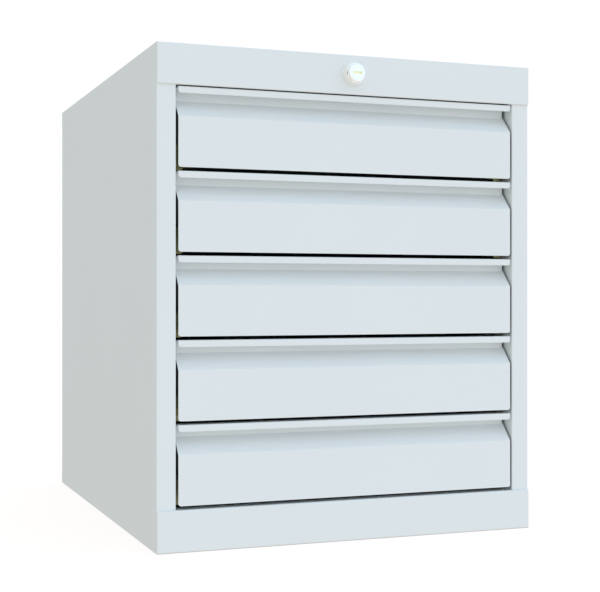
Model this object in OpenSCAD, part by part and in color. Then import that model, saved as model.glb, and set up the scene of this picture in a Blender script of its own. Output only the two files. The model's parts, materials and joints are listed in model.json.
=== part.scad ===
// Steel drawer cabinet: a welded sheet carcass, five drawers on roller runners and one
// central push lock. Millimetres, +Z up, +X to the right, the drawers open towards -Y.
// The origin is on the floor, under the middle of the carcass.

/* [Carcass] */
// Overall width
body_w = 398; // [380:2:460]
// Depth from the fascia to the rear edge
body_d = 500; // [500:5:600]
// Height of the plinth band at the foot
plinth_h = 40; // [36:1:60]
// Height of the fascia band at the top
fascia_h = 39; // [39:1:50]
// Thickness of the carcass sheet
sheet = 1; // [0.8:0.1:1]
// Width of a front stile
stile_w = 18.9; // [18.5:0.1:20]
// How far the stiles stand behind the fascia and the plinth
stile_setback = 2.3; // [2:0.1:3]
// Outer radius of a sheet bend
bend_r = 1.2; // [1.2:0.1:2]

/* [Drawers] */
// Height from one drawer to the next
pitch = 80; // [79:1:100]
// Gap under each drawer front
front_gap = 3.5; // [3:0.1:3.6]
// Gap at each end of a drawer front
end_gap = 2.4; // [1.5:0.1:2.5]
// Height of the lip above the pull
lip_h = 6.5; // [5:0.5:9]
// Depth of the recessed pull behind the face
pull_depth = 14.75; // [13:0.25:14.75]
// Height from the lip's top to the foot of the recess's rear wall
pull_back_h = 12.7; // [11:0.1:14]
// Height from the lip's top to the top of the flat face
pull_h = 28.5; // [25:0.5:32]
// Length of a tray, from its front wall to its rear wall
tray_d = 434; // [430:1:434]

/* [Runners] */
// Space between a tray and the runner plane
side_space = 12.5; // [12.5:0.1:12.7]
// Diameter of a roller
roller_d = 15.6; // [15:0.1:15.6]
// Travel of a drawer
drawer_travel = 340; // [250:5:345]

/* [Lock] */
// Height of the lock below the top of the cabinet
lock_drop = 19; // [18.5:0.1:20]
// Diameter of the plunger
plunger_d = 18.4; // [18:0.1:19.4]
// How far the plunger travels when it is pressed
lock_travel = 6; // [4:0.5:6]

/* [Hidden] */
drawer_count = 5;
bend_steps = 5;
$fn = 64;
// Reach of a cutter past the face where it starts
over = 1;
// Reach of a hole's cutter on each side of its wall
hole_reach = 3;
// Overlap of two joined bodies that would otherwise only share a face
eps = 0.01;

// Carcass
body_h = plinth_h + drawer_count * pitch + 1 + fascia_h;
half_w = body_w / 2;
opening = half_w - stile_w;
opening_top = body_h - fascia_h;
corner_return = 10;
rear_flange = 15;
band_flange = 18;
band_lip = 8;
side_flange_y = 14;
back_play = 0.6;
stile_return = 36;
stile_edge = 9.5;
bend_mid = bend_r - sheet / 2;
upright_y = 432;
upright_w = 30;
upright_foot = 14;

// Drawer fronts; heights are counted down from the lip's top edge
front_setback = stile_setback - 0.2;
front_h = pitch - front_gap;
front_half = opening - end_gap;
front_corner_r = 2.5;
foot_half = 158;
foot_lift = 9;
foot_leg = 10;
pull_flange = 10;
pull_end_r = 2.5;
pull_trim = 5;

// Trays
tray_half = opening - side_space;
tray_y = pull_depth + sheet;
tray_rear = tray_y + tray_d;
tray_floor = -74;
tray_rim = -14;
tray_wall_top = -3;
hem_gap = 1.4;
hem_h = 8;

// Runners
rail = 1.2;
rail_foot = -77.8;
rail_head = -53.4;
rail_flange = 9.9;
rail_y = 23;
rail_d = 450;
slide_flange_z = -60.5;
slide_flange_w = 7.5;
slide_foot_w = 7.7;
slide_gap_end = 1.9;
tab_y = 19;
tab_half = 177;
tab_foot = 2 - pitch;
tab_r = 4;
roller_w = 6.4;
roller_play = 0.05;
hub_step = 0.3;
pin_d = 5;
pin_hole_d = 5.05;
pin_head_d = 8;
pin_head_h = 0.8;
pin_gap = 0.2;
rivet_d = 7;
front_roller_y = 46;
rear_roller_y = front_setback + tray_rear - 10;
front_roller_z = slide_flange_z - roller_play - roller_d / 2;
rear_roller_z = rail_foot + rail + roller_play + roller_d / 2;
front_roller_x = opening - 9.4;
rear_roller_x = tray_half + 1.6;
stop_h = 2.5;
stop_len = 3;
stop_edge = 2.5;
end_stop_gap = 1.5;
stop_reach = sqrt(pow(roller_d / 2, 2) - pow(roller_d / 2 - stop_h, 2));
stop_y = rear_roller_y - drawer_travel - stop_reach - 0.1;
end_stop_y = rear_roller_y + roller_d / 2 + 1.2;
screw_d = 4;
screw_head_d = 8;
screw_head_h = 1.5;
screw_len = 6;
screw_hole_d = 4.3;
recess_len = 4.6;
recess_w = 0.9;
recess_depth = 1.2;
screw_z = (rail_foot + rail_head) / 2;
screw_ys = [30, upright_y + 25];

// Lock
lock_z = body_h - lock_drop;
collar_h = 7;
collar_base_r = 12;
collar_front_r = 10.25;
collar_edge = 0.3;
plunger_out = 10.8;
plunger_rear = 20;
plunger_play = 0.05;
plunger_bevel = 1.1;
barrel_r = 11;
barrel_rear = 24;
barrel_play = 0.02;
barrel_hole_d = 22.1;
nut_flats = 27;
nut_h = 4;
core_d = 12.9;
core_rear = 16;
core_room = 1.5;
key_w = 9.2;
key_h = 2.4;
// Down to the dust shutter that closes the key slot
key_depth = 1.4;
keyway_w = 3;
keyway_depth = 0.3;
rod_d = 8;
rod_guide_y = 240;
rod_guide_half = 14;
rod_guide_drop = 11;
rod_guide_foot = 16;
bracket_t = 1.5;

// Bell crank: the push rod's pin moves back, the lock bar's pin moves down
bar_y = 481.5;
bar_t = 3;
bar_w = 20;
crank_arm = 16;
crank_rise = sqrt(pow(crank_arm, 2) - pow(lock_travel / 2, 2));
crank_tilt = asin(lock_travel / 2 / crank_arm);
crank_y = bar_y - crank_rise;
crank_z = lock_z - crank_rise;
crank_t = 3;
crank_arm_w = 9;
crank_tip_d = 10.5;
crank_hub_d = 12;
crank_hub_half = 5.3;
crank_slot_w = 4.3;
crank_slot_len = 5.4;
crank_slot_shift = 0.1;
link_pin_d = 4;
fork_half = 4.3;
fork_gap = 1.8;
fork_y = crank_y - 19;
fork_h = 10;
fork_web = 4;
fork_reach = 5;
bracket_half = 16;
bracket_reach = 9;
cheek_x = 5.5;
cheek_drop = 7.5;
pivot_d = 5;
pivot_head_d = 8;
pivot_head_h = 1;
running_play = 0.05;

// Lock bar teeth and the catches that they hold
tooth_half = 6;
tooth_t = 2;
tooth_foot_h = 8;
tooth_top = -12;
tooth_tip = -25;
tooth_y = 467;
catch_half = 12;
catch_t = 1.5;
catch_z = -36;
catch_lip_top = -27;
catch_foot = -48;
catch_reach = 20;
bar_foot = plinth_h + 48;
bar_head = crank_z + 8.5;
bar_slot_half = 2;
bar_slot_foot = 7;
bar_pin_half = 9;
guide_h = 12;
guide_half = 16;
guide_y = 476;
guide_play = 0.1;
guide_zs = [140, 375];
spring_h = 24;
spring_r = 4.4;
spring_wire = 1.2;
spring_turns = 6;
spring_seat_t = 6;
spring_seat_reach = 8;

PAINT = [0.86, 0.89, 0.91];
PAINT_SIDE = [0.80, 0.83, 0.84];
ZINC_YELLOW = [0.62, 0.62, 0.42];
ZINC = [0.72, 0.74, 0.76];
NYLON = [0.92, 0.92, 0.88];
BLACK_NYLON = [0.12, 0.12, 0.13];
CHROME = [0.93, 0.96, 0.98];
BRASS = [0.85, 0.80, 0.50];

CARCASS_NODES = [
    "left_side_panel", "right_side_panel", "top_panel", "base_panel", "back_panel",
    "left_upright", "right_upright", "left_cabinet_runners", "right_cabinet_runners",
    "front_roller_pins", "runner_screws"];
LOCK_NODES = [
    "lock_housing", "lock_nut", "lock_plunger", "lock_core", "push_rod", "rod_guide",
    "bell_crank", "crank_bracket", "crank_pin", "lock_bar", "lock_bar_teeth",
    "lock_bar_guides", "lock_bar_spring"];
DRAWER_PARTS = [
    "front", "tray", "runners", "roller_pins", "rear_rollers", "lock_catch",
    "front_rollers"];

// ---- Folded sheet ----

// Vector v at length 1
function unit(v) = v / norm(v);
// Vector v after a quarter turn to the left
function left_of(v) = [-v[1], v[0]];
// Vector v turned by a degrees
function turned(v, a) = [v[0] * cos(a) - v[1] * sin(a), v[0] * sin(a) + v[1] * cos(a)];
function reversed(v) = [for (i = [len(v) - 1:-1:0]) v[i]];

// One face of a sheet folded along the mid-line p, with bends of mid-line radius r.
// The face lies s to the left of the mid-line.
function sheet_face(p, r, s) = let(last = len(p) - 1) concat(
    [p[0] + s * left_of(unit(p[1] - p[0]))],
    [for (i = [1:last - 1])
        let(a = unit(p[i] - p[i - 1]),
            b = unit(p[i + 1] - p[i]),
            turn = sign(cross(a, b)),
            angle = acos(a * b),
            centre = p[i] - r * tan(angle / 2) * a + turn * r * left_of(a))
        for (k = [0:bend_steps])
            centre + (r - turn * s) * turned(-turn * left_of(a), turn * angle * k / bend_steps)],
    [p[last] + s * left_of(unit(p[last] - p[last - 1]))]);

// Section of a sheet of thickness t folded along the mid-line p
module folded(p, t, r) {
    polygon(concat(sheet_face(p, r, t / 2), reversed(sheet_face(p, r, -t / 2))));
}

// A quarter arc of radius r about c that starts at angle a
function arc(c, r, a) =
    [for (k = [0:bend_steps]) c + r * [cos(a + 90 * k / bend_steps), sin(a + 90 * k / bend_steps)]];

// Extrude a section drawn in Y and Z along X, from x0 to x1
module along_x(x0, x1) {
    translate([x0, 0, 0]) rotate([90, 0, 90]) linear_extrude(x1 - x0) children();
}

// Extrude a section drawn in X and Z along Y, from y0 to y1
module along_y(y0, y1) {
    translate([0, y1, 0]) rotate([90, 0, 0]) linear_extrude(y1 - y0) children();
}

// Extrude a plan section along Z, from z0 to z1
module along_z(z0, z1) {
    translate([0, 0, z0]) linear_extrude(z1 - z0) children();
}

// Block between two opposite corners
module block(low, high) {
    translate(low) cube(high - low);
}

// Round bar along X, from x0 to x1, centred on y and z
module bar_along_x(d, x0, x1, y, z) {
    translate([x0, y, z]) rotate([0, 90, 0]) cylinder(d = d, h = x1 - x0);
}

// Round bar along Y, from y0 to y1, centred on x and z
module bar_along_y(d, y0, y1, x, z) {
    translate([x, y0, z]) rotate([-90, 0, 0]) cylinder(d = d, h = y1 - y0);
}

// Cutter for a hole of diameter d through a wall that stands at x
module wall_hole(d, x, y, z) {
    bar_along_x(d, x - hole_reach, x + hole_reach, y, z);
}

// The part and its mirror image on the other side of the cabinet
module both_sides() {
    children();
    mirror([1, 0, 0]) children();
}

// The sections below count Y from the fascia's front plane
module from_fascia() {
    translate([0, -body_d / 2, 0]) children();
}

// Height of the top edge of drawer n; drawer 1 is at the top
function lip_z(n) = plinth_h + (drawer_count + 1 - n) * pitch;

// Place the parts of drawer n: Y from its face, Z from its lip's top edge
module at_drawer(n) {
    from_fascia() translate([0, front_setback, lip_z(n)]) children();
}

// Place the cabinet's fittings of drawer n: Y from the fascia, Z from the lip's top edge
module at_bay(n) {
    from_fascia() translate([0, 0, lip_z(n)]) children();
}

// ---- Carcass ----

// Plan of the right side panel: a wall, with the folded stile and the rear flange if asked for
function side_path(stile, flange) = let(mid = half_w - sheet / 2) concat(
    stile ? [
        [opening + stile_edge, stile_setback + stile_return - sheet / 2],
        [opening + sheet / 2, stile_setback + stile_return - sheet / 2],
        [opening + sheet / 2, stile_setback + sheet / 2],
        [mid, stile_setback + sheet / 2]]
        : [[mid, corner_return]],
    flange ? [[mid, body_d - sheet / 2], [half_w - rear_flange, body_d - sheet / 2]]
        : [[mid, body_d]]);

module side_panel() {
    difference() {
        union() {
            along_z(0, rear_flange) folded(side_path(false, false), sheet, bend_mid);
            along_z(rear_flange, plinth_h) folded(side_path(false, true), sheet, bend_mid);
            along_z(plinth_h, opening_top) folded(side_path(true, true), sheet, bend_mid);
            along_z(opening_top, body_h - rear_flange)
                folded(side_path(false, true), sheet, bend_mid);
            along_z(body_h - rear_flange, body_h) folded(side_path(false, false), sheet, bend_mid);
        }
        for (n = [1:drawer_count])
            wall_hole(screw_hole_d, opening, screw_ys[0], lip_z(n) + screw_z);
    }
}

module left_side_panel() {
    color(PAINT_SIDE) from_fascia() mirror([1, 0, 0]) side_panel();
}

module right_side_panel() {
    color(PAINT_SIDE) from_fascia() side_panel();
}

// Block of a front band, rounded along its front edges; inset shrinks it all round
module band_block(h, inset, d) {
    r = bend_r - inset;
    w = half_w - inset - r;
    intersection() {
        along_z(inset, h - inset) polygon(concat(
            arc([-w, inset + r], r, 180), arc([w, inset + r], r, 270),
            [[w + r, d], [-w - r, d]]));
        along_x(-half_w, half_w) polygon(concat(
            arc([inset + r, inset + r], r, 180), [[d, inset], [d, h - inset]],
            arc([inset + r, h - inset - r], r, 90)));
    }
}

// Bottom sheet with a front band of height h, all folded from one blank
module pan(h) {
    inner = half_w - sheet;
    difference() {
        band_block(h, 0, corner_return);
        band_block(h, sheet, corner_return + over);
    }
    block([-inner, corner_return - sheet, 0], [inner, body_d - bend_r, sheet]);
    along_x(-inner, inner) folded(
        [[body_d - rear_flange, sheet / 2], [body_d - sheet / 2, sheet / 2],
         [body_d - sheet / 2, rear_flange]], sheet, bend_mid);
    both_sides()
        block([inner - sheet, side_flange_y, 0], [inner, body_d - rear_flange, rear_flange]);
    along_x(-inner, inner) folded(
        [[corner_return - sheet, h - sheet / 2], [band_flange - sheet / 2, h - sheet / 2],
         [band_flange - sheet / 2, h - band_lip]], sheet, bend_mid);
}

module base_panel() {
    color(PAINT) from_fascia() pan(plinth_h);
}

module top_panel() {
    color(PAINT) from_fascia() difference() {
        translate([0, 0, body_h]) mirror([0, 0, 1]) pan(fascia_h);
        bar_along_y(barrel_hole_d, -over, sheet + over, 0, lock_z);
    }
}

// Flat sheet that lies against the rear flanges, clear of their inner bends
module back_panel() {
    inset = sheet + back_play;
    color(PAINT_SIDE) from_fascia()
        block([inset - half_w, body_d - 2 * sheet, inset],
              [half_w - inset, body_d - sheet, body_h - inset]);
}

// Folded channel that carries the rear ends of the runners
module upright() {
    wall = half_w - 1.5 * sheet;
    face = opening + sheet / 2;
    front = upright_y + sheet / 2;
    rear = upright_y + upright_w - sheet / 2;
    difference() {
        along_z(rear_flange + over, body_h - rear_flange - over) folded(
            [[wall, front - upright_foot], [wall, front], [face, front], [face, rear],
             [wall, rear], [wall, rear + upright_foot]], sheet, bend_mid);
        for (n = [1:drawer_count])
            wall_hole(screw_hole_d, opening, screw_ys[1], lip_z(n) + screw_z);
    }
}

module left_upright() {
    color(ZINC) from_fascia() mirror([1, 0, 0]) upright();
}

module right_upright() {
    color(ZINC) from_fascia() upright();
}

// ---- Runners ----

// The C-shaped runner on the cabinet, with a stop bump and an end stop
module cabinet_runner() {
    web = opening - rail / 2;
    lip = opening - rail_flange + rail / 2;
    difference() {
        union() {
            along_y(rail_y, rail_y + rail_d) folded(
                [[lip, rail_head - rail / 2], [web, rail_head - rail / 2],
                 [web, rail_foot + rail / 2], [lip, rail_foot + rail / 2]], rail, rail);
            block([lip + over, stop_y - stop_len, rail_foot + rail / 2],
                  [opening - stop_edge, stop_y, rail_foot + rail + stop_h]);
            block([lip, end_stop_y, rail_foot + rail / 2],
                  [web, end_stop_y + rail, slide_flange_z - end_stop_gap]);
        }
        wall_hole(pin_hole_d, opening, front_roller_y, front_roller_z);
        for (y = screw_ys) wall_hole(screw_hole_d, opening, y, screw_z);
    }
}

module left_cabinet_runners() {
    color(ZINC_YELLOW) for (n = [1:drawer_count]) at_bay(n) mirror([1, 0, 0]) cabinet_runner();
}

module right_cabinet_runners() {
    color(ZINC_YELLOW) for (n = [1:drawer_count]) at_bay(n) cabinet_runner();
}

module front_roller_pins() {
    head_x = front_roller_x - pin_gap - pin_head_h;
    end_x = opening + pin_head_h;
    color(ZINC) for (n = [1:drawer_count]) at_bay(n) both_sides() {
        bar_along_x(pin_head_d, head_x, head_x + pin_head_h, front_roller_y, front_roller_z);
        bar_along_x(pin_d, head_x + eps, end_x - eps, front_roller_y, front_roller_z);
        bar_along_x(rivet_d, opening, end_x, front_roller_y, front_roller_z);
    }
}

module runner_screws() {
    head_x = opening - rail - screw_head_h;
    color(ZINC) for (n = [1:drawer_count]) at_bay(n) both_sides() for (y = screw_ys) {
        difference() {
            bar_along_x(screw_head_d, head_x, opening - rail, y, screw_z);
            for (turn = [0, 90]) translate([head_x, y, screw_z]) rotate([turn, 0, 0])
                cube([2 * recess_depth, recess_len, recess_w], center = true);
        }
        bar_along_x(screw_d, head_x + recess_depth, opening + screw_len, y, screw_z);
    }
}

// A roller with a raised hub face, drawn with its inner end at x
module roller(x, y, z) {
    difference() {
        union() {
            bar_along_x(roller_d, x + hub_step, x + roller_w - hub_step, y, z);
            bar_along_x(pin_head_d, x, x + roller_w, y, z);
        }
        bar_along_x(pin_d + 2 * running_play, x - over, x + roller_w + over, y, z);
    }
}

module drawer_front_rollers(n) {
    color(NYLON) at_bay(n) both_sides() roller(front_roller_x, front_roller_y, front_roller_z);
}

// ---- Drawers ----

// Section of a drawer front down to its lower edge
function front_path() = let(face = sheet / 2, wall = pull_depth + sheet / 2) [
    [face, -lip_h], [face, -sheet / 2], [wall, -sheet / 2], [wall, -pull_back_h],
    [face, -pull_h], [face, -front_h]];

// Section of the channel that holds the foot of the face to the tray
function foot_path() = let(face = 1.5 * sheet - eps, wall = pull_depth + sheet / 2,
                           low = foot_lift - front_h) [
    [face, low + foot_leg], [face, low], [wall, low], [wall, low + foot_leg]];

// Cutter that rounds a lower corner of the lip or the face, at height z
module corner_cut(z) {
    r = front_corner_r;
    both_sides() along_y(-over, sheet + over / 2) polygon(concat(
        arc([front_half - r, z + r], r, 270), [[front_half + over, z + r],
        [front_half + over, z - over], [front_half - r, z - over]]));
}

// Rear wall of the pull, with its ends folded back
module pull_wall() {
    wall = pull_depth + sheet / 2;
    end = front_half - sheet / 2;
    along_z(sheet / 2 - pull_back_h, -sheet) folded(
        [[end, wall + pull_flange], [end, wall], [-end, wall], [-end, wall + pull_flange]],
        sheet, pull_end_r - sheet / 2);
}

module drawer_front(n) {
    color(PAINT) at_drawer(n) {
        difference() {
            union() {
                along_x(-front_half, front_half) folded(front_path(), sheet, bend_mid);
                along_x(-foot_half, foot_half) folded(foot_path(), sheet, bend_mid);
            }
            corner_cut(-lip_h);
            corner_cut(-front_h);
            both_sides() block([front_half - pull_trim, pull_depth - eps, sheet / 2 - pull_back_h],
                               [front_half + over, tray_y + over, -sheet]);
        }
        pull_wall();
    }
}

module drawer_tray(n) {
    side = tray_half - sheet / 2;
    rim = tray_rim - sheet / 2;
    floor = tray_floor + sheet / 2;
    color(PAINT) at_drawer(n) {
        along_y(tray_y, tray_rear) folded(
            [[hem_gap - side, rim - hem_h], [hem_gap - side, rim], [-side, rim],
             [-side, floor], [side, floor], [side, rim], [side - hem_gap, rim],
             [side - hem_gap, rim - hem_h]], sheet, hem_gap / 2);
        block([-side, tray_y, floor], [side, tray_y + sheet, tray_wall_top]);
        block([-side, tray_rear - sheet, floor], [side, tray_rear, tray_rim - sheet]);
    }
}

// The Z-shaped runner under the tray's edge, with a rounded tab at its front end
module drawer_runner() {
    leg = tray_half + rail / 2;
    foot = tray_floor - rail / 2;
    head = slide_flange_z + rail / 2;
    difference() {
        union() {
            along_y(tab_y + rail / 2, tray_rear - slide_gap_end) folded(
                [[leg - slide_foot_w, foot], [leg, foot], [leg, head],
                 [leg + rail / 2 + slide_flange_w, head]], rail, rail);
            along_y(tab_y, tab_y + rail) polygon(concat(
                arc([tray_half + tab_r, tab_foot + tab_r], tab_r, 180),
                arc([tab_half - tab_r, tab_foot + tab_r], tab_r, 270),
                [[tab_half, rail_head], [tray_half, rail_head]]));
        }
        wall_hole(pin_hole_d, tray_half, rear_roller_y - front_setback, rear_roller_z);
    }
}

module drawer_runners(n) {
    color(ZINC_YELLOW) at_drawer(n) both_sides() drawer_runner();
}

module drawer_roller_pins(n) {
    y = rear_roller_y - front_setback;
    tip = rear_roller_x + roller_w + pin_gap;
    color(ZINC) at_drawer(n) both_sides() {
        bar_along_x(pin_d, tray_half + eps, tip + pin_head_h - eps, y, rear_roller_z);
        bar_along_x(pin_head_d, tip, tip + pin_head_h, y, rear_roller_z);
    }
}

module drawer_rear_rollers(n) {
    color(NYLON) at_drawer(n) both_sides()
        roller(rear_roller_x, rear_roller_y - front_setback, rear_roller_z);
}

// Hook on the tray's rear wall; the lock bar's tooth drops in front of its lip
module drawer_lock_catch(n) {
    root = tray_rear + catch_t / 2;
    color(ZINC) at_drawer(n) along_x(-catch_half, catch_half) folded(
        [[root, catch_foot], [root, catch_z + catch_t / 2],
         [tray_rear + catch_reach - catch_t / 2, catch_z + catch_t / 2],
         [tray_rear + catch_reach - catch_t / 2, catch_lip_top]], catch_t, catch_t);
}

// ---- Lock ----

// Place a part of the lock: the turning axis is drawn along Z and points to the rear
module on_lock_axis() {
    from_fascia() translate([0, 0, lock_z]) rotate([-90, 0, 0]) children();
}

module lock_housing() {
    bore_r = plunger_d / 2 + plunger_play;
    color(CHROME) on_lock_axis() rotate_extrude() polygon([
        [bore_r, -collar_h], [collar_front_r - collar_edge, -collar_h],
        [collar_front_r, collar_edge - collar_h], [collar_base_r, -collar_edge],
        [collar_base_r, 0],
        [barrel_r, 0], [barrel_r, barrel_rear], [bore_r, barrel_rear]]);
}

module lock_nut() {
    color(ZINC) on_lock_axis() translate([0, 0, sheet]) difference() {
        cylinder(d = nut_flats / cos(30), h = nut_h, $fn = 6);
        translate([0, 0, -over]) cylinder(r = barrel_r + barrel_play, h = nut_h + 2 * over);
    }
}

module lock_plunger() {
    r = plunger_d / 2;
    color(CHROME) on_lock_axis() difference() {
        rotate_extrude() polygon([
            [0, -plunger_out], [r - plunger_bevel, -plunger_out],
            [r, plunger_bevel - plunger_out], [r, plunger_rear], [0, plunger_rear]]);
        translate([0, 0, -plunger_out - over])
            cylinder(d = core_d + 2 * running_play, h = plunger_out + core_rear + core_room);
        block([-r - over, -keyway_w / 2, -plunger_out - over],
              [keyway_depth - r, keyway_w / 2, plunger_rear + over]);
    }
}

module lock_core() {
    color(BRASS) on_lock_axis() difference() {
        translate([0, 0, -plunger_out]) cylinder(d = core_d, h = plunger_out + core_rear);
        block([-key_w / 2, -key_h / 2, -plunger_out - over],
              [key_w / 2, key_h / 2, key_depth - plunger_out]);
    }
}

// Rod from the plunger to the fork that holds the bell crank's pin
module push_rod() {
    pin_y = crank_y - lock_travel / 2;
    color(ZINC) from_fascia() {
        bar_along_y(rod_d, plunger_rear, fork_y + fork_web / 2, 0, lock_z);
        block([-fork_half, fork_y, lock_z - fork_h / 2],
              [fork_half, fork_y + fork_web, lock_z + fork_h / 2]);
        both_sides() block([fork_gap, fork_y, lock_z - fork_h / 2],
                           [fork_half, pin_y + fork_reach, lock_z + fork_h / 2]);
        bar_along_x(link_pin_d, -fork_half, fork_half, pin_y, lock_z);
    }
}

module rod_guide() {
    ceiling = body_h - sheet - bracket_t / 2;
    color(ZINC) from_fascia() difference() {
        along_x(-rod_guide_half, rod_guide_half) folded(
            [[rod_guide_y, lock_z - rod_guide_drop], [rod_guide_y, ceiling],
             [rod_guide_y + rod_guide_foot, ceiling]], bracket_t, bracket_t);
        bar_along_y(rod_d + 2 * running_play, rod_guide_y - bracket_t, rod_guide_y + bracket_t,
                    0, lock_z);
    }
}

// Flat outline of the crank, drawn in Y and Z with both arms square to each other
module crank_outline() {
    difference() {
        union() {
            circle(d = crank_hub_d);
            for (a = [0, 90]) rotate(a) {
                translate([0, -crank_arm_w / 2]) square([crank_arm, crank_arm_w]);
                translate([crank_arm, 0]) circle(d = crank_tip_d);
            }
        }
        for (a = [0, 90]) rotate(a) translate([crank_arm - crank_slot_shift, 0])
            square([crank_slot_len, crank_slot_w], center = true);
    }
}

module bell_crank() {
    color(ZINC) from_fascia() translate([0, crank_y, crank_z]) rotate([crank_tilt, 0, 0])
        difference() {
            union() {
                along_x(-crank_t / 2, crank_t / 2) crank_outline();
                bar_along_x(crank_hub_d, -crank_hub_half, crank_hub_half, 0, 0);
            }
            bar_along_x(pivot_d + 2 * running_play, -crank_hub_half - over,
                        crank_hub_half + over, 0, 0);
        }
}

module crank_bracket() {
    ceiling = body_h - sheet;
    color(ZINC) from_fascia() difference() {
        union() {
            block([-bracket_half, crank_y - bracket_reach, ceiling - bracket_t],
                  [bracket_half, crank_y + bracket_reach, ceiling]);
            both_sides() block([cheek_x, crank_y - bracket_reach, crank_z - cheek_drop],
                               [cheek_x + bracket_t, crank_y + bracket_reach, ceiling - eps]);
        }
        bar_along_x(pin_hole_d, -bracket_half, bracket_half, crank_y, crank_z);
    }
}

module crank_pin() {
    end = cheek_x + bracket_t;
    color(ZINC) from_fascia() {
        bar_along_x(pivot_d, -end - eps, end + eps, crank_y, crank_z);
        both_sides() bar_along_x(pivot_head_d, end, end + pivot_head_h, crank_y, crank_z);
    }
}

module lock_bar() {
    front = bar_y - bar_t / 2;
    color(ZINC) from_fascia() {
        difference() {
            block([-bar_w / 2, front, bar_foot], [bar_w / 2, front + bar_t, bar_head]);
            block([-bar_slot_half, front - over, crank_z - bar_slot_foot],
                  [bar_slot_half, front + bar_t + over, bar_head + over]);
        }
        bar_along_x(link_pin_d, -bar_pin_half, bar_pin_half, bar_y, crank_z + lock_travel / 2);
    }
}

// Folded hooks, one for each drawer's catch, with a foot that lies on the bar's front
module lock_bar_teeth() {
    foot = bar_y - bar_t / 2 - tooth_t / 2;
    tip = tooth_y + tooth_t / 2;
    color(ZINC) from_fascia() for (n = [1:drawer_count]) translate([0, 0, lip_z(n)])
        along_x(-tooth_half, tooth_half) folded(
            [[foot, tooth_top + tooth_foot_h], [foot, tooth_top - tooth_t / 2],
             [tip, tooth_top - tooth_t / 2], [tip, tooth_tip]], tooth_t, tooth_t);
}

// Two guide blocks for the bar and the seat of its spring, fixed to the back panel
module lock_bar_guides() {
    wall = body_d - 2 * sheet;
    play = guide_play;
    color(BLACK_NYLON) from_fascia() {
        for (z = guide_zs) difference() {
            block([-guide_half, guide_y, z], [guide_half, wall, z + guide_h]);
            block([-bar_w / 2 - play, bar_y - bar_t / 2 - play, z - over],
                  [bar_w / 2 + play, bar_y + bar_t / 2 + play, z + guide_h + over]);
        }
        seat = bar_foot - spring_h;
        block([-guide_half, bar_y - spring_seat_reach, seat - spring_seat_t],
              [guide_half, wall, seat]);
    }
}

// Point j of the wire's section on step i of the coil
function coil_point(i, j, steps, sides) = let(
        turn = 360 * spring_turns * i / steps,
        rise = spring_wire / 2 + (spring_h - spring_wire) * i / steps,
        out = spring_r + spring_wire / 2 * cos(360 * j / sides))
    [out * cos(turn), out * sin(turn), rise + spring_wire / 2 * sin(360 * j / sides)];

module lock_bar_spring() {
    sides = 8;
    steps = spring_turns * 16;
    color(ZINC) from_fascia() translate([0, bar_y, bar_foot - spring_h]) polyhedron(
        points = [for (i = [0:steps]) for (j = [0:sides - 1]) coil_point(i, j, steps, sides)],
        faces = concat(
            [[for (j = [0:sides - 1]) j]],
            [for (i = [0:steps - 1]) for (j = [0:sides - 1]) let(k = (j + 1) % sides)
                [i * sides + j, (i + 1) * sides + j, (i + 1) * sides + k, i * sides + k]],
            [[for (j = [sides - 1:-1:0]) steps * sides + j]]));
}

left_side_panel();
right_side_panel();
top_panel();
base_panel();
back_panel();
left_upright();
right_upright();
left_cabinet_runners();
right_cabinet_runners();
front_roller_pins();
runner_screws();
lock_housing();
lock_nut();
lock_plunger();
lock_core();
push_rod();
rod_guide();
bell_crank();
crank_bracket();
crank_pin();
lock_bar();
lock_bar_teeth();
lock_bar_guides();
lock_bar_spring();
for (n = [1:drawer_count]) {
    drawer_front(n);
    drawer_tray(n);
    drawer_runners(n);
    drawer_roller_pins(n);
    drawer_rear_rollers(n);
    drawer_lock_catch(n);
    drawer_front_rollers(n);
}
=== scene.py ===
"""Looks of the flat file cabinet: finishes, edge rounding, the return spring, floor, light and camera.

Everything is in metres in the CAD frame: +Z up, +X to the right, the drawers open towards -Y.
"""
import json
import math

import bmesh
import bpy
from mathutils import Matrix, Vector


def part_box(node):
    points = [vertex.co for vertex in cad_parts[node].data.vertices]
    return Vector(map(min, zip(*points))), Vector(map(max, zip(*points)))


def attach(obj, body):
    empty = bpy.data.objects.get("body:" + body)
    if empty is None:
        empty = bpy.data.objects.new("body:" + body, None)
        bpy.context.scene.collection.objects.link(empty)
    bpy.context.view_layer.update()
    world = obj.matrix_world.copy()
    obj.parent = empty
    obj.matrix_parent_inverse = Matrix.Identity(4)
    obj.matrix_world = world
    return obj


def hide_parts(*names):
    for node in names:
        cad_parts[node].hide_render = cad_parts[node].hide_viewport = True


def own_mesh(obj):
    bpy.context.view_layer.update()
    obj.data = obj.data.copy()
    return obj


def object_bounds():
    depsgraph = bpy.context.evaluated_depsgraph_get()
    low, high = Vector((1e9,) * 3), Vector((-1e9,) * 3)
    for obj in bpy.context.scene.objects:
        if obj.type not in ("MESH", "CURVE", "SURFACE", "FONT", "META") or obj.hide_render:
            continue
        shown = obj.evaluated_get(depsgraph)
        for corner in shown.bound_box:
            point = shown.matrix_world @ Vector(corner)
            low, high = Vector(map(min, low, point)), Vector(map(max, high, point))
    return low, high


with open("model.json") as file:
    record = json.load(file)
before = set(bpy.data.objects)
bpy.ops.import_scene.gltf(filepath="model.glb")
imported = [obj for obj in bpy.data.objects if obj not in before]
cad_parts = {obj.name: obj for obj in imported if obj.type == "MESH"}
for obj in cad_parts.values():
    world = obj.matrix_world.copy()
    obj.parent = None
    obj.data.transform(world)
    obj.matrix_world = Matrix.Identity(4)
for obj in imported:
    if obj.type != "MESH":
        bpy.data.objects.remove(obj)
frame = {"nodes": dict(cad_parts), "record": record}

CAD_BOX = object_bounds()
NODES = frame["nodes"]
SLOTS = {part["node"]: part["material_slot"] for part in frame["record"]["subparts"]}
MM = 0.001

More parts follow.
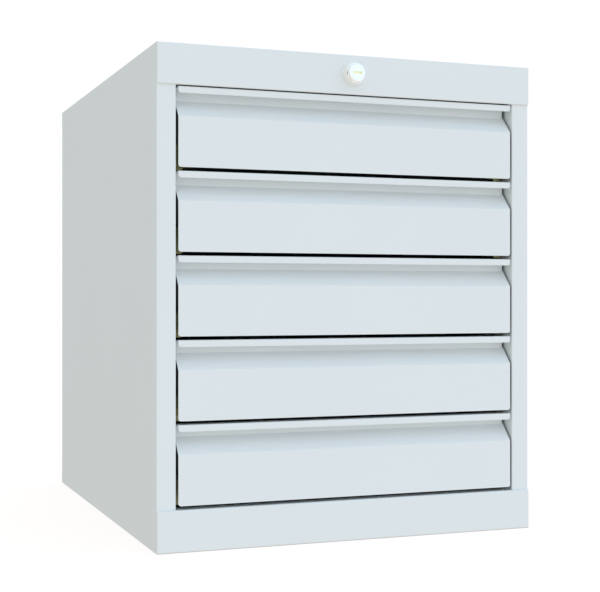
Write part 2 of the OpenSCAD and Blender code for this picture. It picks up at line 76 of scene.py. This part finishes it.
CARCASS_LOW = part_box("left_side_panel")[0]
CARCASS_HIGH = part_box("right_side_panel")[1]
CARCASS_MIDDLE = (CARCASS_LOW + CARCASS_HIGH) / 2
FASCIA_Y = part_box("top_panel")[0].y
LOCK_LOW, LOCK_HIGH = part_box("lock_plunger")
LOCK_AXIS = (LOCK_LOW + LOCK_HIGH) / 2
COLLAR_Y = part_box("lock_housing")[0].y

# Base colours, linear
PAINT = (0.785, 0.820, 0.825)
COLLAR_NICKEL = (1.0, 1.0, 0.97)
CHROME_FACE = (0.92, 0.97, 0.96)
CHROME_FLANK = (1.0, 1.0, 0.98)
BRASS_DARK, BRASS_LIGHT = (0.88, 0.86, 0.52), (0.94, 0.92, 0.62)
ZINC_DARK, ZINC_LIGHT = (0.50, 0.52, 0.54), (0.66, 0.68, 0.70)
SPRING_DARK, SPRING_LIGHT = (0.36, 0.37, 0.39), (0.50, 0.51, 0.53)
NATURAL_NYLON = (0.82, 0.81, 0.75)
BLACK_NYLON = (0.030, 0.030, 0.034)

# Spot welds on the rear flanges
WELD_INSET = 7.0 * MM
WELD_STEP = 60.0 * MM
WELD_SIZE = 6.0 * MM

# Return spring
SPRING_WIRE = 1.2 * MM
SPRING_TURNS = 7
SPRING_STEPS_PER_TURN = 40
SPRING_SIDES = 12

# Floor
FLOOR_REACH = 14.0
FLOOR_GAP = 0.2 * MM

# Brightness of the surroundings that the camera sees, and light that falls on the cabinet: for each
# channel its level, and how much of the level it gains towards +X, +Y and +Z
BACKDROP = 1.05
LIGHT = (("Red", 0.809, (0.115, -0.20, -0.02)),
         ("Green", 0.844, (0.150, -0.20, 0.13)),
         ("Blue", 0.875, (0.215, -0.20, 0.26)))

# Camera: place in metres, angles in degrees, lens and sensor in millimetres
CAMERA_LEFT, CAMERA_DISTANCE, CAMERA_HEIGHT = 0.49378, 1.16348, 0.24112
CAMERA_TILT, CAMERA_TURN = 0.028, -20.606
LENS, SENSOR = 76.62, 36.0


def scaled(colour, factor):
    """Colour made darker or lighter by a factor."""
    return tuple(min(1.0, channel * factor) for channel in colour)


# ---- Node trees ----

class Tree:
    """A material's node tree, with short calls for the nodes that the finishes share."""

    def __init__(self, name):
        self.material = bpy.data.materials.new(name)
        self.material.use_nodes = True
        self.nodes = self.material.node_tree.nodes
        self.links = self.material.node_tree.links
        self.nodes.clear()
        self.output = self.add("ShaderNodeOutputMaterial")
        self.place = self.add("ShaderNodeTexCoord").outputs["Object"]

    def add(self, kind, **settings):
        """A new node of this kind with these settings."""
        node = self.nodes.new(kind)
        for key, value in settings.items():
            setattr(node, key, value)
        return node

    def feed(self, socket, value):
        """Link value to socket if it is an output, or else store it there."""
        if isinstance(value, bpy.types.NodeSocket):
            self.links.new(value, socket)
        elif isinstance(value, (tuple, list)) and len(value) == 3 and socket.type == "RGBA":
            socket.default_value = (*value, 1.0)
        else:
            socket.default_value = value

    def stretched(self, scale):
        """Object coordinates scaled by a different factor along each axis."""
        node = self.add("ShaderNodeMapping")
        self.feed(node.inputs["Vector"], self.place)
        self.feed(node.inputs["Scale"], scale)
        return node.outputs["Vector"]

    def axes(self):
        """Object coordinates as separate X, Y and Z values."""
        node = self.add("ShaderNodeSeparateXYZ")
        self.feed(node.inputs[0], self.place)
        return node.outputs["X"], node.outputs["Y"], node.outputs["Z"]

    def noise(self, scale, detail=2.0, roughness=0.5, place=None):
        """Noise value with about scale features per metre."""
        node = self.add("ShaderNodeTexNoise")
        self.feed(node.inputs["Vector"], place or self.place)
        self.feed(node.inputs["Scale"], scale)
        self.feed(node.inputs["Detail"], detail)
        self.feed(node.inputs["Roughness"], roughness)
        return node.outputs["Fac"]

    def remap(self, value, low, high, out_low, out_high):
        """Map value from low..high to out_low..out_high, clamped."""
        node = self.add("ShaderNodeMapRange")
        for key, item in (("Value", value), ("From Min", low), ("From Max", high),
                          ("To Min", out_low), ("To Max", out_high)):
            self.feed(node.inputs[key], item)
        return node.outputs["Result"]

    def calculate(self, operation, a, b=0.0):
        """Result of a maths operation on a and b."""
        node = self.add("ShaderNodeMath", operation=operation)
        self.feed(node.inputs[0], a)
        self.feed(node.inputs[1], b)
        return node.outputs[0]

    def distance(self, value, centre):
        """Distance of value from centre."""
        return self.calculate("ABSOLUTE", self.calculate("SUBTRACT", value, centre))

    def mix(self, share, a, b, blend="MIX"):
        """Colour a with colour b mixed in by share."""
        node = self.add("ShaderNodeMix", data_type="RGBA", blend_type=blend)
        self.feed(node.inputs[0], share)
        self.feed(node.inputs[6], a)
        self.feed(node.inputs[7], b)
        return node.outputs[2]

    def bump(self, height, distance, normal=None):
        """Surface relief of the given depth in metres."""
        node = self.add("ShaderNodeBump")
        self.feed(node.inputs["Height"], height)
        self.feed(node.inputs["Distance"], distance)
        self.feed(node.inputs["Strength"], 1.0)
        if normal is not None:
            self.feed(node.inputs["Normal"], normal)
        return node.outputs["Normal"]

    def edge(self, radius):
        """1 on sharp edges within radius, 0 on flat stretches."""
        rounded = self.add("ShaderNodeBevel", samples=4)
        self.feed(rounded.inputs["Radius"], radius)
        flat = self.add("ShaderNodeNewGeometry").outputs["Normal"]
        dot = self.add("ShaderNodeVectorMath", operation="DOT_PRODUCT")
        self.feed(dot.inputs[0], rounded.outputs["Normal"])
        self.feed(dot.inputs[1], flat)
        return self.remap(dot.outputs["Value"], 0.75, 0.995, 1.0, 0.0)

    def painted_crevice_shade(self, reach, darkest):
        """Painted shade: darkest deep between sheets that nearly touch, 1 where the surface is open.
        """
        openness = self.add("ShaderNodeAmbientOcclusion", samples=6)
        self.feed(openness.inputs["Distance"], reach)
        return self.remap(openness.outputs["AO"], 0.06, 0.34, darkest, 1.0)

    def behind(self, y):
        """0 on a face that looks out at y, 1 from 0.15 mm behind it."""
        return self.remap(self.axes()[1], y + 0.05 * MM, y + 0.15 * MM, 0.0, 1.0)

    def row_of_dots(self, across, along, step, size):
        """0 in round dots of the given size, spaced by step where across is 0; 1 elsewhere."""
        to_nearest = self.calculate("PINGPONG", along, step / 2)
        squares = self.calculate("ADD", self.calculate("MULTIPLY", across, across),
                                 self.calculate("MULTIPLY", to_nearest, to_nearest))
        return self.remap(self.calculate("SQRT", squares), 0.34 * size, 0.5 * size, 0.0, 1.0)

    def shade(self, **inputs):
        """Finish the tree with a Principled shader that takes these inputs."""
        shader = self.add("ShaderNodeBsdfPrincipled")
        for key, value in inputs.items():
            self.feed(shader.inputs[key.replace("_", " ")], value)
        self.links.new(shader.outputs[0], self.output.inputs["Surface"])
        return self.material


# ---- Finishes ----

def rear_welds(t):
    """0 in the spot welds that hold the back panel to the carcass's rear flanges, 1 elsewhere."""
    x, y, z = t.axes()
    from_x = t.distance(x, CARCASS_MIDDLE.x)
    from_z = t.distance(z, CARCASS_MIDDLE.z)
    reach = CARCASS_HIGH - CARCASS_MIDDLE
    upright = t.row_of_dots(t.calculate("SUBTRACT", from_x, reach.x - WELD_INSET), from_z,
                            WELD_STEP, WELD_SIZE)
    level = t.row_of_dots(t.calculate("SUBTRACT", from_z, reach.z - WELD_INSET), from_x,
                          WELD_STEP, WELD_SIZE)
    elsewhere = t.remap(y, CARCASS_HIGH.y - 0.3 * MM, CARCASS_HIGH.y - 0.1 * MM, 1.0, 0.0)
    return t.calculate("MAXIMUM", elsewhere, t.calculate("MINIMUM", upright, level))


def powder_coat(name, colour):
    """Pale powder coat on sheet steel: orange peel, faint clouding, painted highlights on the edges,
    painted shade in crevices.
    """
    t = Tree(name)
    clouds = t.noise(6.0, 3.0)
    specks = t.noise(900.0, 1.0)
    # Noise that breaks up the painted edge highlight; the same mask also makes the edges less rough
    highlight_breakup = t.remap(t.noise(70.0, 4.0), 0.42, 0.60, 0.45, 1.0)
    edge = t.calculate("MULTIPLY", t.edge(0.8 * MM), highlight_breakup)
    welds = rear_welds(t)
    in_weld = t.calculate("SUBTRACT", 1.0, welds)
    tone = t.mix(t.remap(clouds, 0.3, 0.7, 0.0, 1.0),
                 scaled(colour, 0.992), scaled(colour, 1.008))
    tone = t.mix(t.remap(specks, 0.64, 0.76, 0.0, 0.30), tone, scaled(colour, 0.93))
    # Painted highlight: sharp edges made paler than the paint
    tone = t.mix(t.calculate("MULTIPLY", edge, 0.70), tone, scaled(colour, 1.14))
    # Painted shade: the paint is darkened where sheets nearly touch
    tone = t.mix(1.0, tone, t.painted_crevice_shade(5.0 * MM, 0.10), "MULTIPLY")
    tone = t.mix(t.calculate("MULTIPLY", in_weld, 0.45), tone, scaled(colour, 0.80))
    relief = t.bump(welds, 0.5 * MM)
    relief = t.bump(t.noise(420.0, 2.0, 0.4), 0.035 * MM, relief)
    relief = t.bump(t.noise(1900.0, 1.0), 0.008 * MM, relief)
    rough = t.calculate("ADD", t.remap(clouds, 0.3, 0.7, 0.40, 0.47),
                        t.calculate("MULTIPLY", edge, -0.08))
    return t.shade(Base_Color=tone, Roughness=rough, Normal=relief, Specular_IOR_Level=0.45)


def yellow_zinc(name):
    """Yellow-passivated zinc: olive gold with drifts of green and rose, rolled along Y."""
    t = Tree(name)
    drift = t.noise(22.0, 3.0)
    rolled = t.noise(1.0, 2.0, place=t.stretched((900.0, 14.0, 900.0)))
    tone = t.mix(t.remap(drift, 0.35, 0.65, 0.0, 1.0), (0.36, 0.37, 0.16), (0.50, 0.45, 0.22))
    tone = t.mix(t.remap(t.noise(55.0, 2.0), 0.55, 0.72, 0.0, 0.45), tone, (0.40, 0.42, 0.27))
    # Painted highlight: sharp edges made paler
    tone = t.mix(t.calculate("MULTIPLY", t.edge(0.4 * MM), 0.35), tone, (0.66, 0.66, 0.58))
    relief = t.bump(rolled, 0.01 * MM)
    rough = t.remap(rolled, 0.3, 0.7, 0.32, 0.46)
    return t.shade(Base_Color=tone, Metallic=0.75, Roughness=rough, Normal=relief)


def zinc_plate(name, dark, light):
    """Bright zinc plate with a soft spangle between two tones."""
    t = Tree(name)
    cells = t.add("ShaderNodeTexVoronoi")
    t.feed(cells.inputs["Vector"], t.place)
    t.feed(cells.inputs["Scale"], 260.0)
    spangle = t.remap(cells.outputs["Distance"], 0.0, 0.8, 0.0, 1.0)
    tone = t.mix(spangle, dark, light)
    # Painted highlight: sharp edges made paler
    tone = t.mix(t.calculate("MULTIPLY", t.edge(0.3 * MM), 0.5), tone, (0.78, 0.79, 0.80))
    relief = t.bump(t.noise(700.0, 2.0), 0.012 * MM)
    rough = t.calculate("ADD", 0.26, t.calculate("MULTIPLY", t.noise(90.0, 3.0), 0.18))
    return t.shade(Base_Color=tone, Metallic=1.0, Roughness=rough, Normal=relief)


def moulded_nylon(name, colour, rough):
    """Moulded nylon with a faint mould texture and slight yellowing."""
    t = Tree(name)
    aged = tuple(channel * share for channel, share in zip(colour, (0.96, 0.93, 0.85)))
    tone = t.mix(t.noise(60.0, 3.0), colour, aged)
    relief = t.bump(t.noise(1400.0, 2.0), 0.015 * MM)
    dull = t.remap(t.noise(120.0, 2.0), 0.3, 0.7, rough - 0.06, rough + 0.06)
    return t.shade(Base_Color=tone, Roughness=dull, Normal=relief, Subsurface_Weight=0.05)


def turned_metal(name, face, flank, face_y, rough, groove_depth):
    """Plated lock metal turned on a lathe: face colour in front, flank colour round the sides."""
    t = Tree(name)
    axis = t.add("ShaderNodeMapping")
    t.feed(axis.inputs["Vector"], t.place)
    t.feed(axis.inputs["Location"], (-LOCK_AXIS.x, 0.0, -LOCK_AXIS.z))
    lathe = t.add("ShaderNodeTexWave", wave_type="RINGS", rings_direction="Y")
    t.feed(lathe.inputs["Vector"], axis.outputs["Vector"])
    t.feed(lathe.inputs["Scale"], 420.0)
    t.feed(lathe.inputs["Distortion"], 0.6)
    tone = t.mix(t.behind(face_y), face, flank)
    tone = t.mix(t.remap(t.noise(260.0, 3.0), 0.4, 0.7, 0.0, 0.25), tone, scaled(flank, 0.93))
    # Painted highlight: sharp edges made near white
    tone = t.mix(t.calculate("MULTIPLY", t.edge(0.25 * MM), 0.3), tone, (0.98, 0.98, 0.96))
    dull = t.remap(t.noise(180.0, 3.0), 0.3, 0.7, rough - 0.04, rough + 0.05)
    relief = t.bump(lathe.outputs["Fac"], groove_depth)
    return t.shade(Base_Color=tone, Metallic=1.0, Roughness=dull, Normal=relief)


def lock_core_metal(name, face, face_y):
    """Brass core whose face is plated like the plunger; the key slot shows pale brass."""
    t = Tree(name)
    scratches = t.noise(1.0, 2.0, place=t.stretched((2600.0, 200.0, 300.0)))
    brass = t.mix(scratches, BRASS_DARK, BRASS_LIGHT)
    plate = t.mix(t.remap(t.noise(260.0, 3.0), 0.4, 0.7, 0.0, 0.4), face, scaled(face, 0.95))
    relief = t.bump(scratches, 0.004 * MM)
    rough = t.remap(scratches, 0.3, 0.7, 0.16, 0.28)
    return t.shade(Base_Color=t.mix(t.behind(face_y), plate, brass), Metallic=1.0,
                   Roughness=rough, Normal=relief)


def studio_floor(name):
    """Pale seamless floor: it glows, so that it stays white and keeps only a soft shadow."""
    t = Tree(name)
    tone = t.mix(t.noise(1.3, 4.0), (0.405, 0.345, 0.305), (0.425, 0.365, 0.325))
    relief = t.bump(t.noise(160.0, 3.0), 0.05 * MM)
    rough = t.remap(t.noise(9.0, 3.0), 0.3, 0.7, 0.62, 0.74)
    return t.shade(Base_Color=tone, Roughness=rough, Normal=relief, Specular_IOR_Level=0.1,
                   Emission_Color=(1.0, 1.0, 1.0), Emission_Strength=0.70)


# ---- Dressing the CAD nodes ----

# Finish and rounding of edges for each material slot
FINISHES = {
    "body_paint": (powder_coat("body_paint", PAINT), 0.2 * MM),
    "yellow_zinc": (yellow_zinc("yellow_zinc"), 0.15 * MM),
    "zinc_plate": (zinc_plate("zinc_plate", ZINC_DARK, ZINC_LIGHT), 0.15 * MM),
    "roller_nylon": (moulded_nylon("roller_nylon", NATURAL_NYLON, 0.42), 0.3 * MM),
    "black_nylon": (moulded_nylon("black_nylon", BLACK_NYLON, 0.48), 0.3 * MM),
    "lock_nickel": (turned_metal("lock_nickel", COLLAR_NICKEL, COLLAR_NICKEL, COLLAR_Y,
                                 0.50, 0.003 * MM), 0.15 * MM),
    "lock_chrome": (turned_metal("lock_chrome", CHROME_FACE, CHROME_FLANK, LOCK_LOW.y,
                                 0.16, 0.001 * MM), 0.1 * MM),
    "lock_brass": (lock_core_metal("lock_brass", CHROME_FACE, LOCK_LOW.y), 0.1 * MM),
    "spring_steel": (zinc_plate("spring_steel", SPRING_DARK, SPRING_LIGHT), 0.0),
}


def dress(node, material, edge_width):
    """Give a CAD node its finish, smooth bends, and edges rounded by edge_width metres."""
    piece = NODES[node]
    piece.data.materials.clear()
    piece.data.materials.append(material)
    for face in piece.data.polygons:
        face.use_smooth = True
    if edge_width:
        bevel = piece.modifiers.new("edge_finish", "BEVEL")
        bevel.width = edge_width
        bevel.segments = 2
        bevel.limit_method = "ANGLE"
        bevel.angle_limit = math.radians(40.0)


for node, slot in SLOTS.items():
    dress(node, *FINISHES[slot])


# ---- The return spring ----

def coil_height(turn, height):
    """Height of the wire's middle after some turns: the end turns lie flat on each other."""
    if turn < 1:
        return SPRING_WIRE / 2 + SPRING_WIRE * turn
    if turn > SPRING_TURNS - 1:
        return height - SPRING_WIRE / 2 - SPRING_WIRE * (SPRING_TURNS - turn)
    share = (turn - 1) / (SPRING_TURNS - 2)
    return 1.5 * SPRING_WIRE + share * (height - 3 * SPRING_WIRE)


def coil(low, high):
    """Mesh of a coil spring with closed ends that fills the box between two corners."""
    middle = (low + high) / 2
    radius = (high.x - low.x - SPRING_WIRE) / 2
    steps = SPRING_STEPS_PER_TURN * SPRING_TURNS
    mesh = bmesh.new()
    rings = []
    for i in range(steps + 1):
        turn = SPRING_TURNS * i / steps
        angle = 2 * math.pi * turn
        z = low.z + coil_height(turn, high.z - low.z)
        ring = []
        for j in range(SPRING_SIDES):
            around = 2 * math.pi * j / SPRING_SIDES
            out = radius + SPRING_WIRE / 2 * math.cos(around)
            ring.append(mesh.verts.new((middle.x + out * math.cos(angle),
                                        middle.y + out * math.sin(angle),
                                        z + SPRING_WIRE / 2 * math.sin(around))))
        rings.append(ring)
    for ring, following in zip(rings, rings[1:]):
        for j in range(SPRING_SIDES):
            k = (j + 1) % SPRING_SIDES
            mesh.faces.new((ring[j], ring[k], following[k], following[j]))
    mesh.faces.new(rings[0][::-1])
    mesh.faces.new(rings[-1])
    bmesh.ops.recalc_face_normals(mesh, faces=mesh.faces)
    for face in mesh.faces:
        face.smooth = len(face.verts) == 4
    return mesh


def wind_spring(name, node):
    """Coil spring that stands for a CAD node on the cabinet and is attached to the cabinet's body."""
    low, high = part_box(node)
    mesh = coil(low, high)
    data = bpy.data.meshes.new(name)
    mesh.to_mesh(data)
    mesh.free()
    data.materials.append(FINISHES[SLOTS[node]][0])
    spring = bpy.data.objects.new(name, data)
    bpy.context.scene.collection.objects.link(spring)
    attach(spring, "cabinet")
    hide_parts(node)
    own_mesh(spring)


wind_spring("lock_return_spring", "lock_bar_spring")


# ---- Floor, light and camera ----

def lay_floor():
    """A wide pale floor under the cabinet, which sends no light of its own to the cabinet."""
    corners = [(FLOOR_REACH * x, FLOOR_REACH * y, 0)
               for x, y in ((-1, -1), (1, -1), (1, 1), (-1, 1))]
    mesh = bpy.data.meshes.new("floor")
    mesh.from_pydata(corners, [], [(0, 1, 2, 3)])
    mesh.materials.append(studio_floor("studio_floor"))
    floor = bpy.data.objects.new("floor", mesh)
    floor.location.z = CAD_BOX[0].z - FLOOR_GAP
    floor.visible_diffuse = False
    floor.visible_glossy = False
    bpy.context.scene.collection.objects.link(floor)


def light_room():
    """Surroundings that the camera sees as plain white, and whose light changes with direction.

    The front gets most of the light and the left side less. It is cooler from above and warmer
    from below.
    """
    world = bpy.data.worlds.new("studio")
    bpy.context.scene.world = world
    world.use_nodes = True
    nodes, links = world.node_tree.nodes, world.node_tree.links
    nodes.clear()
    direction = nodes.new("ShaderNodeTexCoord").outputs["Generated"]
    colour = nodes.new("ShaderNodeCombineColor")
    for channel, level, slope in LIGHT:
        towards = nodes.new("ShaderNodeVectorMath")
        towards.operation = "DOT_PRODUCT"
        links.new(direction, towards.inputs[0])
        towards.inputs[1].default_value = slope
        light = nodes.new("ShaderNodeMath")
        light.operation = "MULTIPLY_ADD"
        links.new(towards.outputs["Value"], light.inputs[0])
        light.inputs[1].default_value = level
        light.inputs[2].default_value = level
        links.new(light.outputs[0], colour.inputs[channel])
    glow = nodes.new("ShaderNodeBackground")
    links.new(colour.outputs["Color"], glow.inputs["Color"])
    plain = nodes.new("ShaderNodeBackground")
    plain.inputs["Color"].default_value = (1.0, 1.0, 1.0, 1.0)
    plain.inputs["Strength"].default_value = BACKDROP
    choose = nodes.new("ShaderNodeMixShader")
    links.new(nodes.new("ShaderNodeLightPath").outputs["Is Camera Ray"], choose.inputs[0])
    links.new(glow.outputs[0], choose.inputs[1])
    links.new(plain.outputs[0], choose.inputs[2])
    links.new(choose.outputs[0], nodes.new("ShaderNodeOutputWorld").inputs["Surface"])


def set_camera():
    """Camera in front of the cabinet and to its left, level with its middle."""
    camera = bpy.data.cameras.new("camera")
    camera.sensor_fit = "HORIZONTAL"
    camera.sensor_width = SENSOR
    camera.lens = LENS
    camera.clip_start, camera.clip_end = 0.05, 60.0
    holder = bpy.data.objects.new("camera", camera)
    holder.location = (-CAMERA_LEFT, FASCIA_Y - CAMERA_DISTANCE, CAMERA_HEIGHT)
    holder.rotation_euler = (math.radians(90.0 + CAMERA_TILT), 0.0, math.radians(CAMERA_TURN))
    bpy.context.scene.collection.objects.link(holder)
    bpy.context.scene.camera = holder


lay_floor()
light_room()
set_camera()
bpy.context.scene.view_settings.view_transform = "Standard"
